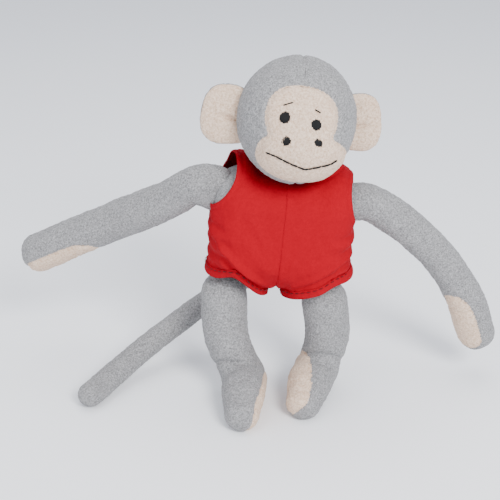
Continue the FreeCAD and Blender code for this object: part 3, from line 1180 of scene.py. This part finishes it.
@dataclass
class Arm:
    """One arm: a stuffed plush tube, root to hand, with a cream palm patch."""

    side: Side
    course: Course
    radii: tuple[float, ...]
    wardrobe: Wardrobe
    root_lift: float = 0.0
    palm_back: float = 11.0
    palm_half: float = 30.0
    palm_wide: float = 11.5
    palm_crease: float = 26.0
    bend_reach: float = 15.0
    step: float = 0.62

    def build(self) -> None:
        """Makes and dresses the arm."""
        word = self.side.word
        start = pivot(word + "_shoulder_raise")
        root = start - vec(self.side.value * 11, 0, 0)
        way = np.vstack([root, self.course.stations(start)])
        way[:2, 2] += self.root_lift
        rope = smooth_way(way, (self.radii[0], *self.radii), 19)
        form = Form([rope])
        low, high = rope.points.min(0) - 18, rope.points.max(0) + 18
        skin = mesh_form(form, low, high, self.step)
        total = rope.along(rope.points[-1:])[0][0]
        palm = patch_line(rope, self.course.patch_facing, total - self.palm_back, self.palm_half,
                          self.palm_wide)
        skin = snapped(skin, palm, form, self.step * 0.6)
        edge = palm(skin.points)
        length, offset = rope.along(skin.points)
        relief = pile(skin, 0.24, 51 + self.side.value)
        relief -= 0.7 * near(edge, 0.9)
        seam = unit(np.cross(self.course.patch_facing, rope.points[-1] - rope.points[0]))
        ahead = offset @ unit(self.course.patch_facing)
        relief -= 0.45 * near(ahead, 0.9) * (offset @ seam < 0) * (edge > 2)
        crease = length - (total - self.palm_crease) - 2.0 * np.sin((offset @ seam) / 4)
        relief -= 0.6 * near(crease, 1.0) * (edge < 0)
        skin = skin.raised(relief)
        is_palm = palm(skin.middles()) < 0
        elbow = pivot(word + "_elbow_bend") * MM
        away = axis(word + "_elbow_bend")
        along = rope.points[np.argmin(np.linalg.norm(rope.points - elbow / MM, axis=1)) + 1] - elbow / MM
        along = unit(along - (along @ away) * away) * self.bend_reach * MM
        for name, keep, material, slot, nodes in (
                ("arm_plush", ~is_palm, self.wardrobe.grey, "grey_plush",
                 ["upper_arm_skin", "upper_arm_stuffing", "forearm_skin", "forearm_stuffing"]),
                ("palm_patch_plush", is_palm, self.wardrobe.cream, "cream_plush", ["palm_patch"])):
            piece = piece_of(f"{word}_{name}", skin.part(keep), material)
            if name == "arm_plush":
                elbow - along
                elbow + along
                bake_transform(piece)
            else:
                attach(piece, word + "_forearm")
            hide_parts(*[f"{word}_{node}" for node in nodes])


@dataclass
class Leg:
    """One leg: a plush tube from the hip with its foot, and a cream sole."""

    side: Side
    heading: float
    sole_facing: Array
    knee_push: Array
    wardrobe: Wardrobe
    radii: tuple[float, ...] = (14.2, 13.9, 12.2)
    foot_radii: tuple[float, ...] = (13.0, 14.2, 10.2)
    foot_length: float = 35.0
    root_shift: float = 0.0
    sole_middle: float = 19.0
    sole_half: float = 28.0
    sole_wide: float = 15.5
    press: float = 0.8
    step: float = 0.62

    def build(self) -> None:
        """Makes and dresses the leg and foot."""
        word = self.side.word
        hip, ankle = pivot(word + "_hip_flex"), pivot(word + "_ankle_bend")
        toe = ankle + course_way(self.heading, 0) * self.foot_length
        toe[2] = self.foot_radii[-1] - self.press
        knee = (hip + ankle) / 2 + self.knee_push
        thigh = hip + vec(self.root_shift, 0, 0)
        shank = smooth_way(np.array([thigh, knee, ankle]), self.radii, 9)
        middle = (ankle + toe) / 2
        middle[2] = self.foot_radii[1] - self.press
        foot = smooth_way(np.array([ankle, middle, toe]), self.foot_radii, 7)
        body = Form([shank, foot], soft=5.0)

        def form(points: Array) -> Array:
            """Signed distance from the leg, pressed flat by the floor."""
            return np.maximum(body(points), -points[:, 2])

        low = np.minimum(shank.points.min(0), foot.points.min(0)) - 18
        high = np.maximum(shank.points.max(0), foot.points.max(0)) + 18
        skin = mesh_form(form, low, high, self.step)
        sole = patch_line(foot, self.sole_facing, self.sole_middle, self.sole_half, self.sole_wide)
        skin = snapped(skin, sole, form, self.step * 0.6)
        edge = sole(skin.points)
        relief = pile(skin, 0.24, 71 + self.side.value) - 0.7 * near(edge, 0.9)
        forward = course_way(self.heading, 0)
        crease = unit(forward + vec(0, 0, 1))
        fold = (skin.points - ankle) @ unit(vec(0, 0, 1) - forward * 0.75) - 7.5
        front = np.clip((skin.points - ankle) @ crease / 12, 0, 1)
        relief -= 1.5 * near(fold, 1.3) * front
        relief *= np.clip(skin.points[:, 2] / 1.2, 0, 1)
        skin = skin.raised(relief)
        skin.points[:, 2] = np.maximum(skin.points[:, 2], 0)
        is_sole = sole(skin.middles()) < 0
        shin = unit(ankle - knee)
        start, end = (ankle - shin * 15) * MM, (ankle - shin * 2 + forward * 6) * MM
        for name, keep, material, slot, nodes in (
                ("leg_plush", ~is_sole, self.wardrobe.grey, "grey_plush",
                 ["leg_skin", "leg_stuffing", "foot_skin", "foot_stuffing", "hip_stuffing"]),
                ("sole_plush", is_sole, self.wardrobe.cream, "cream_plush", ["sole"])):
            piece = piece_of(f"{word}_{name}", skin.part(keep), material)
            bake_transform(piece)
            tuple(start)
            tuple(end)
            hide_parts(*[f"{word}_{node}" for node in nodes])


@dataclass
class Tail:
    """The tail: a thin stuffed tube from the seat down to the floor."""

    wardrobe: Wardrobe
    headings: tuple[float, ...] = (168.0, 170.0, 200.0, 215.0, 229.0, 238.0)
    length: float = 157.0
    radius: float = 7.2
    tip_radius: float = 7.8
    droop: float = 1.8

    def build(self) -> None:
        """Makes and dresses the tail."""
        root = pivot("tail_root_lift")
        points, count = [root], len(self.headings)
        for i, heading in enumerate(self.headings):
            left = 1 - (i + 1) / count
            height = self.tip_radius + (root[2] - self.tip_radius) * left ** self.droop
            drop = height - points[-1][2]
            level = math.sqrt((self.length / count) ** 2 - drop ** 2)
            points.append(points[-1] + course_way(heading, 0) * level + vec(0, 0, drop))
        radii = np.linspace(self.radius, self.tip_radius, count + 1)
        rope = smooth_way(np.array(points), radii, 22)
        form = Form([rope])
        skin = mesh_form(form, rope.points.min(0) - 12, rope.points.max(0) + 12, 0.62)
        relief = pile(skin, 0.24, 91)
        _, offset = rope.along(skin.points)
        relief -= 0.45 * near(offset @ vec(0, 1, 0), 0.8) * (offset[:, 2] < 0)
        skin = skin.raised(relief * np.clip(skin.points[:, 2] / 1.2, 0, 1))
        skin.points[:, 2] = np.maximum(skin.points[:, 2], 0)
        bend = pivot("tail_bend") * MM
        nearest = np.argmin(np.linalg.norm(rope.points * MM - bend, axis=1))
        way = unit(rope.points[nearest + 1] - rope.points[nearest - 1]) * 11 * MM
        piece = piece_of("tail_plush", skin, self.wardrobe.grey)
        bend - way
        bend + way
        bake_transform(piece)
        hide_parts("tail_base_skin", "tail_base_stuffing", "tail_tip_skin", "tail_tip_stuffing",
                    "tail_root_stuffing")


# ---------------------------------------------------------------- body and romper

@dataclass(frozen=True)
class Crease:
    """A fold in cloth: a line in the body's frame, its width, and its height (below 0 for a valley)."""

    start: tuple[float, float]
    end: tuple[float, float]
    width: float
    height: float

    def relief(self, across: Array, up: Array) -> Array:
        """How far the fold stands out at places across and up.

        Args:
            across: places across the body, in mm.
            up: places up it.

        Returns:
            How far out each place stands, in mm.
        """
        start, leg = vec(*self.start), vec(*self.end) - vec(*self.start)
        x, z = across - start[0], up - start[1]
        share = np.clip((x * leg[0] + z * leg[1]) / (leg @ leg), 0, 1)
        away = np.hypot(x - share * leg[0], z - share * leg[1])
        fade = np.sin(np.clip(share, 0.04, 0.96) * math.pi) ** 0.5
        return self.height * near(away, self.width) * fade


@dataclass
class Body:
    """The stuffed body and the romper that it wears."""

    wardrobe: Wardrobe
    lean: float = 5.0
    half_width: float = 40.5
    half_depth: float = 25.0
    above: float = 35.0
    below: float = 33.5
    packed_middle: float = 4.0
    ease: float = 1.7
    step: float = 0.75

    def __post_init__(self) -> None:
        """Finds the body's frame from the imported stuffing."""
        low, high = corners("torso_stuffing")
        turn = math.radians(self.lean)
        across, up = vec(math.cos(turn), 0, -math.sin(turn)), vec(math.sin(turn), 0, math.cos(turn))
        centre = (low + high) / 2 + up * self.packed_middle
        self.pose = Pose(centre, across, vec(0, 1, 0), up)

    def trunk(self, points: Array) -> Array:
        """Signed distance from the body: square shoulders and a rounder seat.

        Args:
            points: rows of x, y, z in mm.

        Returns:
            One distance per point, below 0 inside.
        """
        middle = vec(0, 0, (self.above - self.below) / 2)
        half = vec(self.half_width, self.half_depth, (self.above + self.below) / 2)
        top = Block(self.pose, middle, half, 16.0)(points)
        seat = Block(self.pose, middle, half, 24.5)(points)
        height = self.pose.local(points)[:, 2]
        share = np.clip((height + 22) / 32, 0, 1)
        share = share * share * (3 - 2 * share)
        return seat + (top - seat) * share

    def build(self) -> None:
        """Makes the plush body and the romper."""
        reach = vec(60, 45, 60)
        low, high = self.pose.centre - reach, self.pose.centre + reach
        form = Form([self.trunk])
        skin = mesh_form(form, low, high, 1.0)
        skin = skin.raised(pile(skin, 0.2, 3) - 0.2)
        for name, keep in (("front", skin.middles()[:, 1] < self.pose.centre[1]),
                           ("back", skin.middles()[:, 1] >= self.pose.centre[1])):
            piece = piece_of(f"torso_{name}_plush", skin.part(keep), self.wardrobe.grey)
            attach(piece, "torso")
            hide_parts(f"torso_{name}_panel", *(["torso_stuffing"] if name == "back" else []))
        Romper(self, self.wardrobe).build()
        self.neck()
        for side in Side:
            self.shoulder(side)

    def neck(self) -> None:
        """The short plush neck between body and head."""
        point = pivot("neck_turn")
        rope = Rope(np.array([point - self.pose.up * 8, point + self.pose.up * 6]), vec(13.5, 12.0))
        skin = mesh_form(Form([rope]), point - 24, point + 24, 1.0)
        piece = piece_of("neck_plush", skin.raised(pile(skin, 0.2, 5)), self.wardrobe.grey)
        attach(piece, "neck")
        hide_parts("neck_gusset", "neck_seam_thread")

    def shoulder(self, side: Side) -> None:
        """The plush that joins an arm's root to the body, inside the armhole.

        Args:
            side: which shoulder.
        """
        point = pivot(side.word + "_shoulder_raise")
        corner = self.pose.world(vec(side.value * (self.half_width - 17), 0, self.above - 17))[0]
        inward = unit(corner - point)
        rope = Rope(np.array([point + inward * 15, point]), vec(12.0, 9.8))
        skin = mesh_form(Form([rope]), point - 32, point + 32, 0.75)
        skin = skin.raised(pile(skin, 0.22, 7 + side.value) - 0.2)
        piece = piece_of(side.word + "_shoulder_plush", skin, self.wardrobe.grey)
        (point + inward * 12) * MM
        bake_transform(piece)
        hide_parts(side.word + "_shoulder_seam_thread", side.word + "_shoulder_stuffing")


@dataclass
class Romper:
    """The red cotton romper: two halves with their straps, and a turned hem round each leg."""

    body: Body
    wardrobe: Wardrobe
    cloth: float = 0.7
    hem_width: float = 5.5
    hem_stitches: int = 38
    stitch_share: float = 0.33
    stitch_radius: float = 0.28
    longest_stitch: float = 4.0
    cut: tuple[float, float] = (0.125, 0.105)
    cut_area: float = 0.0088
    flare: float = 3.2
    # where each hem arches up: its middle across the body, half width and height
    arches: dict[Side, tuple[float, float, float]] = field(default_factory=lambda: {
        Side.RIGHT: (-24.0, 10.5, 9.5), Side.LEFT: (34.0, 6.0, 2.0)})
    front_folds: tuple[Crease, ...] = (
        Crease((-40, 0), (-4, -31), 2.0, 2.8), Crease((-41, -8), (-8, -33), 2.0, -1.8),
        Crease((-39, -10), (-10, -34), 1.8, 2.4), Crease((-32, 10), (0, -20), 3.4, 0.8),
        Crease((40, -6), (10, -27), 2.0, 2.2), Crease((40, -13), (12, -31), 1.8, -1.6),
        Crease((38, -2), (14, -18), 3.0, 0.8), Crease((-22, 22), (-8, -4), 3.0, 0.6),
        Crease((26, 24), (16, -6), 3.4, 0.6), Crease((10, 6), (6, -30), 2.6, 0.5))
    side_tucks: tuple[float, ...] = (4.0, -6.0, -16.0)
    # armholes: how far in from the shoulder, how far up, and how wide
    armholes: dict[Side, tuple[float, float, float]] = field(default_factory=lambda: {
        Side.RIGHT: (6.5, 12.8, 17.8), Side.LEFT: (3.5, 5.5, 14.0)})
    neckline_middle: Array = field(default_factory=lambda: vec(5, 3, 45))
    neckline_half: Array = field(default_factory=lambda: vec(24.5, 20, 12.5))

    def __post_init__(self) -> None:
        """Works out the legs' tubes, and where neck, arms and legs come through."""
        self.pose = self.body.pose
        tubes, straps, self.hems = [], [], {}
        for side, steep, lift, inward, wide, strap, rise in ((Side.RIGHT, 0.38, 14.0, 10.5, 17.2, 27.0, 15.0),
                                                             (Side.LEFT, 0.28, 15.5, 6.0, 19.5, 29.0, 11.5)):
            hip = pivot(side.word + "_hip_flex")
            middle = hip - vec(side.value * inward, 0, 0)
            tubes.append(Rope(np.array([middle + vec(0, 0, 16), middle - vec(0, 0, 22)]), vec(wide, wide)))
            straps.append(Ball(self.pose, vec(side.value * strap, 1, 30), vec(10.5, 18, rise)))
            self.hems[side] = (hip + vec(0, 0, lift), unit(vec(side.value * steep, -0.05, -0.88)))
        self.form = Form([self.body.trunk, *tubes, *straps], soft=6.0, outset=self.body.ease)

    def hem_line(self, side: Side) -> Field:
        """How far above a leg's hem a point is, in mm.

        Args:
            side: whose hem.

        Returns:
            A field of heights, below 0 past the hem.
        """
        point, down = self.hems[side]
        middle, half, height = self.arches[side]
        across = self.middle_line
        return lambda spots: -(spots - point) @ down - height * near(across(spots) - middle, half)

    def middle_line(self, points: Array) -> Array:
        """Distance from the seam between the halves."""
        return self.pose.local(points)[:, 0]

    def on_hem(self, side: Side, spot: Array) -> Array:
        """A spot of the cloth moved up or down onto the line of the hem's stitches.

        Args:
            side: whose hem.
            spot: a place on the cloth.

        Returns:
            The place on the cloth, a little under the hem's upper edge.
        """
        for _ in range(3):
            spot = spot - self.hems[side][1] * (self.hem_width - 1.0 - self.hem_line(side)(spot[None])[0])
            spot = spot - unit_rows(slope_of(self.form, spot[None]))[0] * self.form(spot[None])[0]
        return spot

    def openings(self, points: Array) -> Array:
        """Distance outside the neckline and armholes.

        Args:
            points: rows of x, y, z in mm.

        Returns:
            One distance per point, below 0 in an opening.
        """
        total = Ball(self.pose, self.neckline_middle, self.neckline_half)(points)
        for side, (inward, rise, radius) in self.armholes.items():
            centre = pivot(side.word + "_shoulder_raise") - self.pose.across * side.value * inward
            centre = centre + self.pose.up * rise - self.pose.back * 5
            total = np.minimum(total, np.linalg.norm((points - centre) * vec(1, 0.8, 1), axis=1) - radius)
        return total

    def folds(self, points: Array) -> Array:
        """The cloth's folds and wrinkles, in mm out.

        Args:
            points: rows of x, y, z in mm.

        Returns:
            One height per point.
        """
        place = self.pose.local(points)
        across, depth, up = place.T
        front = np.clip(0.5 - depth / 12, 0, 1)
        relief = np.zeros(len(points))
        for fold in self.front_folds:
            relief += fold.relief(across, up) * front
            relief += fold.relief(-across * 0.9 + 4, up + 3) * (1 - front) * 0.8
        for tuck in self.side_tucks:
            edge = np.clip((np.abs(across) - 26) / 12, 0, 1)
            relief += 1.1 * near(up - tuck - 0.1 * depth, 2.2) * edge
            relief -= 0.9 * near(up - tuck - 5 - 0.1 * depth, 1.8) * edge
        relief += 0.55 * grain(points, vec(9, 9, 16), 5) + 0.35 * grain(points, vec(5, 5, 7), 6)
        relief += 0.12 * grain(points, 2.2, 8)
        gather = np.clip((-up - 18) / 14, 0, 1)
        relief += gather * 0.4 * np.sin(np.arctan2(depth, across) * 17 + 2 * np.sin(up / 5))
        return np.maximum(relief, -0.9)

    def build(self) -> None:
        """Makes and dresses the romper."""
        reach = vec(60, 45, 75)
        skin = mesh_form(self.form, self.pose.centre - reach, self.pose.centre + reach, self.body.step)
        for side in Side:
            line = self.sided(side, self.hem_line(side))
            skin = snapped(skin, line, self.form, 0.5)
            skin = snapped(skin, lambda p, line=line: line(p) - self.hem_width, self.form, 0.5)
        skin = snapped(skin, self.openings, self.form, 0.5)
        skin = snapped(skin, self.middle_line, self.form, 0.45)
        middles = skin.middles()
        kept = self.openings(middles) > 0
        on_left = self.middle_line(middles) > 0
        above = np.where(on_left, self.hem_line(Side.LEFT)(middles), self.hem_line(Side.RIGHT)(middles))
        relief = self.folds(skin.points)
        edge = self.openings(skin.points)
        relief += 0.35 * near(edge - 1.2, 1.3) - 0.3 * near(edge - 3.2, 0.5)
        place = self.pose.local(skin.points)
        relief -= 0.4 * near(place[:, 0], 0.8) * np.clip(-place[:, 2] / 12, 0, 1)
        outer = np.clip((place[:, 0] - 37) / 6, 0, 1)
        relief += self.flare * near(self.hem_line(Side.LEFT)(skin.points), 5.5) * outer
        band = 0.55 * np.ones(len(skin.points))
        for side in Side:
            mine = on_side(self.pose, skin.points, side)
            height = self.hem_line(side)(skin.points)
            relief = relief * np.where(mine, np.clip((height + 4) / 12, 0.35, 1), 1)
            band = np.where(mine, band - 0.35 * near(height - self.hem_width + 1.0, 0.5), band)
        for side in Side:
            mine = on_left if side is Side.LEFT else ~on_left
            hem = self.cloth_piece(side, "romper_hem", skin.raised(relief + band).part(
                mine & kept & (above > 0) & (above < self.hem_width)), self.cloth * 1.8, ("romper_hem",))
            half = self.cloth_piece(side, "romper_half", skin.raised(relief).part(
                mine & kept & (above > self.hem_width - 0.4)), self.cloth, ("romper_half", "romper_strap"))
            self.stitches(side)

    def cloth_piece(self, side: Side, name: str, cloth: Skin, thick: float,
                    nodes: tuple[str, ...]) -> bpy.types.Object:
        """One piece of the romper: its cloth thickened, its weave laid, its placement baked into the mesh.

        Args:
            side: whose leg it goes with.
            name: the piece's name without its side.
            cloth: its outer face.
            thick: the cloth's thickness in mm.
            nodes: the CAD nodes that it stands for, without their side.

        Returns:
            The piece.
        """
        corner = cloth.points[cloth.quads]
        spread = np.cross(corner[:, 2] - corner[:, 0], corner[:, 3] - corner[:, 1])
        area = np.linalg.norm(spread, axis=1).sum() / 2
        LOG.info("%s %s: %.1f square cm of cloth", side.word, name, area / 100)
        piece = piece_of(f"{side.word}_{name}_cotton", thickened(cloth, thick), self.wardrobe.red)
        self.lay_weave(piece)
        self.follow_leg(piece, side)
        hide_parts(*[f"{side.word}_{node}" for node in nodes])
        return piece

    def follow_leg(self, piece: bpy.types.Object, side: Side) -> None:
        """Bakes a piece's placement into its mesh."""
        hip = pivot(side.word + "_hip_flex")
        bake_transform(piece)

    def sided(self, side: Side, line: Field) -> Field:
        """A line that counts on one side of the body only."""
        return lambda points: np.where(on_side(self.pose, points, side), line(points), FAR)

    def lay_weave(self, piece: bpy.types.Object) -> None:
        """Lays the cloth's own coordinates, in metres, for its weave.

        Args:
            piece: a piece of the cloth.
        """
        mesh = piece.data
        place = np.zeros(len(mesh.vertices) * 3)
        mesh.vertices.foreach_get("co", place)
        local = self.pose.local(place.reshape(-1, 3) / MM)
        turn = np.arctan2(local[:, 0], -local[:, 1])
        spread = np.stack([turn * 34 * MM, local[:, 2] * MM], 1)
        index = np.zeros(len(mesh.loops), int)
        mesh.loops.foreach_get("vertex_index", index)
        layer = mesh.uv_layers.new(name="cloth")
        layer.data.foreach_set("uv", spread[index].ravel())

    def stitches(self, side: Side) -> bpy.types.Object:
        """The hem's running stitches, dark against the cloth.

        Args:
            side: whose hem.

        Returns:
            The stitches' piece.
        """
        point, down = self.hems[side]
        line = point - down * (self.hem_width - 1.0)
        across = unit(np.cross(down, vec(0, 1, 0)))
        beside = np.cross(down, across)
        hip = pivot(side.word + "_hip_flex")
        middle = hip + down * ((line - hip) @ down)
        paths = []
        reach = np.linspace(6, 34, 281)
        half = self.stitch_share
        for i in range(self.hem_stitches):
            stitch = []
            for share in np.linspace(-half, half, 5):
                angle = 2 * math.pi * (i + share) / self.hem_stitches
                way = across * math.cos(angle) + beside * math.sin(angle)
                spots = middle + reach[:, None] * way
                values = self.form(spots)
                outside = np.argmax(values > 0)
                spot = self.on_hem(side, spots[outside])
                slope = unit_rows(slope_of(self.form, spot[None]))[0]
                bow = 0.25 * (1 - (share / half) ** 2)
                stitch.append(spot + slope * (0.75 + bow + 0.5 * self.folds(spot[None])[0]))
            stitch = np.array(stitch)
            if self.openings(stitch[2:3])[0] > 0 and on_side(self.pose, stitch[2:3], side)[0]:
                if np.linalg.norm(stitch[-1] - stitch[0]) < self.longest_stitch:
                    paths.append(stitch)
        piece = piece_of(side.word + "_hem_stitches_thread", thread_skin(paths, self.stitch_radius),
                         self.wardrobe.hem_thread)
        self.follow_leg(piece, side)
        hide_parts(side.word + "_hem_stitches")
        return piece


def on_side(pose: Pose, points: Array, side: Side) -> Array:
    """Which points lie on a side of the body."""
    return pose.local(points)[:, 0] * side.value > 0


# ---------------------------------------------------------------- the stage

@dataclass
class Stage:
    """The floor, the light and the camera."""

    aim: Array = field(default_factory=lambda: vec(-18.8, 20, 85.5))
    rise: float = 25.0
    away: float = 600.0
    lens: float = 69.1

    def build(self) -> None:
        """Sets the stage."""
        low, high = corners("torso_stuffing")
        torso = (low + high) / 2
        body_foot = vec(torso[0] + 1.0, torso[1], 0)
        floor = bpy.data.meshes.new("floor")
        size = 6.0
        floor.from_pydata([(-size, -size, 0), (size, -size, 0), (size, size, 0), (-size, size, 0)], [],
                          [(0, 1, 2, 3)])
        floor.materials.append(Ground().material())
        ground = bpy.data.objects.new("floor", floor)
        bpy.context.scene.collection.objects.link(ground)
        target = (body_foot + self.aim) * MM
        rise = math.radians(self.rise)
        back = vec(0, -math.cos(rise), math.sin(rise))
        camera = bpy.data.objects.new("camera", bpy.data.cameras.new("camera"))
        bpy.context.scene.collection.objects.link(camera)
        camera.data.lens = self.lens
        camera.data.sensor_width = 36
        camera.data.clip_end = 50
        camera.location = Vector(target + back * self.away * MM)
        camera.rotation_euler = (math.pi / 2 - rise, 0, 0)
        bpy.context.scene.camera = camera
        self.light(target)

    def light(self, target: Array) -> None:
        """A broad key near the camera, a fill, and a pale surround.

        Args:
            target: where the lamps point, in metres.
        """
        for name, place, size, power in (("key", vec(0.45, -0.9, 0.75), 0.4, 20.0),
                                         ("fill", vec(-0.8, -0.5, 0.5), 0.9, 4.0),
                                         ("top", vec(0.0, 0.2, 1.2), 1.0, 8.0)):
            lamp = bpy.data.lights.new(name, "AREA")
            lamp.energy, lamp.size = power, size
            light = bpy.data.objects.new(name, lamp)
            bpy.context.scene.collection.objects.link(light)
            light.location = Vector(target + place)
            light.rotation_euler = Vector(-place).to_track_quat("-Z", "Y").to_euler()
        world = bpy.data.worlds.new("surround")
        bpy.context.scene.world = world
        world.use_nodes = True
        world.node_tree.nodes["Background"].inputs["Color"].default_value = (0.86, 0.9, 1.0, 1)
        world.node_tree.nodes["Background"].inputs["Strength"].default_value = 1.1


ARM_COURSES = {Side.RIGHT: Course(154.0, 3.6, -28.0, 0.3, vec(0.1, -0.55, -0.85)),
               Side.LEFT: Course(6.0, 2.0, -33.0, -9.0, vec(-0.75, -0.65, 0.0))}
ARM_LIFTS = {Side.RIGHT: 3.5, Side.LEFT: 0.0}
ARM_RADII = {Side.RIGHT: (10.3, 11.8, 12.2, 11.7, 12.6, 12.7),
             Side.LEFT: (11.0, 10.8, 10.6, 10.8, 11.8, 12.0)}


def main() -> None:
    """Builds the toy in order."""
    logging.basicConfig(level=logging.INFO, format="%(message)s")
    Stage().build()
    wardrobe = Wardrobe()
    Head(wardrobe).build()
    Body(wardrobe).build()
    for side in Side:
        Arm(side, ARM_COURSES[side], ARM_RADII[side], wardrobe, ARM_LIFTS[side]).build()
    Leg(Side.RIGHT, -92.0, vec(0.9, -0.1, -0.5), vec(-3.2, -1.0, 0), wardrobe,
        root_shift=3.0, sole_wide=13.5).build()
    Leg(Side.LEFT, -106.0, vec(-0.8, -0.4, 0.35), vec(4.0, 0.5, 0), wardrobe).build()
    Tail(wardrobe).build()


if __name__ == "__main__":
    main()
